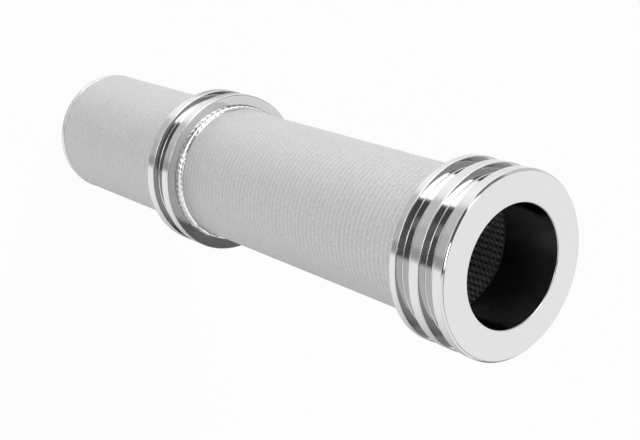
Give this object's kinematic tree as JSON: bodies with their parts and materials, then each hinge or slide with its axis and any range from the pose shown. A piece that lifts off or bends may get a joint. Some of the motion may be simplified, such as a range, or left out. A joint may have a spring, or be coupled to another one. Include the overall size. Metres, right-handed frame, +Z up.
{
  "type": "sintered filter element",
  "caption": "Tubular sintered wire mesh filter element with a grooved open end fitting, a grooved collar part way along and a closed far end.",
  "frame": {"origin": "centre of the closed end's flat face, where the element stands", "axes": "+Z up the tube's axis, from the closed end to the open end fitting"},
  "size_m": [0.061, 0.061, 0.24],
  "materials": {
    "polished_steel": "polished",
    "sintered_mesh": "satin woven mesh",
    "weld_metal": "rippled weld bead"
  },
  "bodies": {
    "root": {"end_fitting": "polished_steel", "mesh_tube": "sintered_mesh", "middle_collar": "polished_steel", "end_cap": "polished_steel", "fitting_weld": "weld_metal", "collar_front_weld": "weld_metal", "collar_back_weld": "weld_metal", "cap_weld": "weld_metal"}
  },
  "joints": []
}
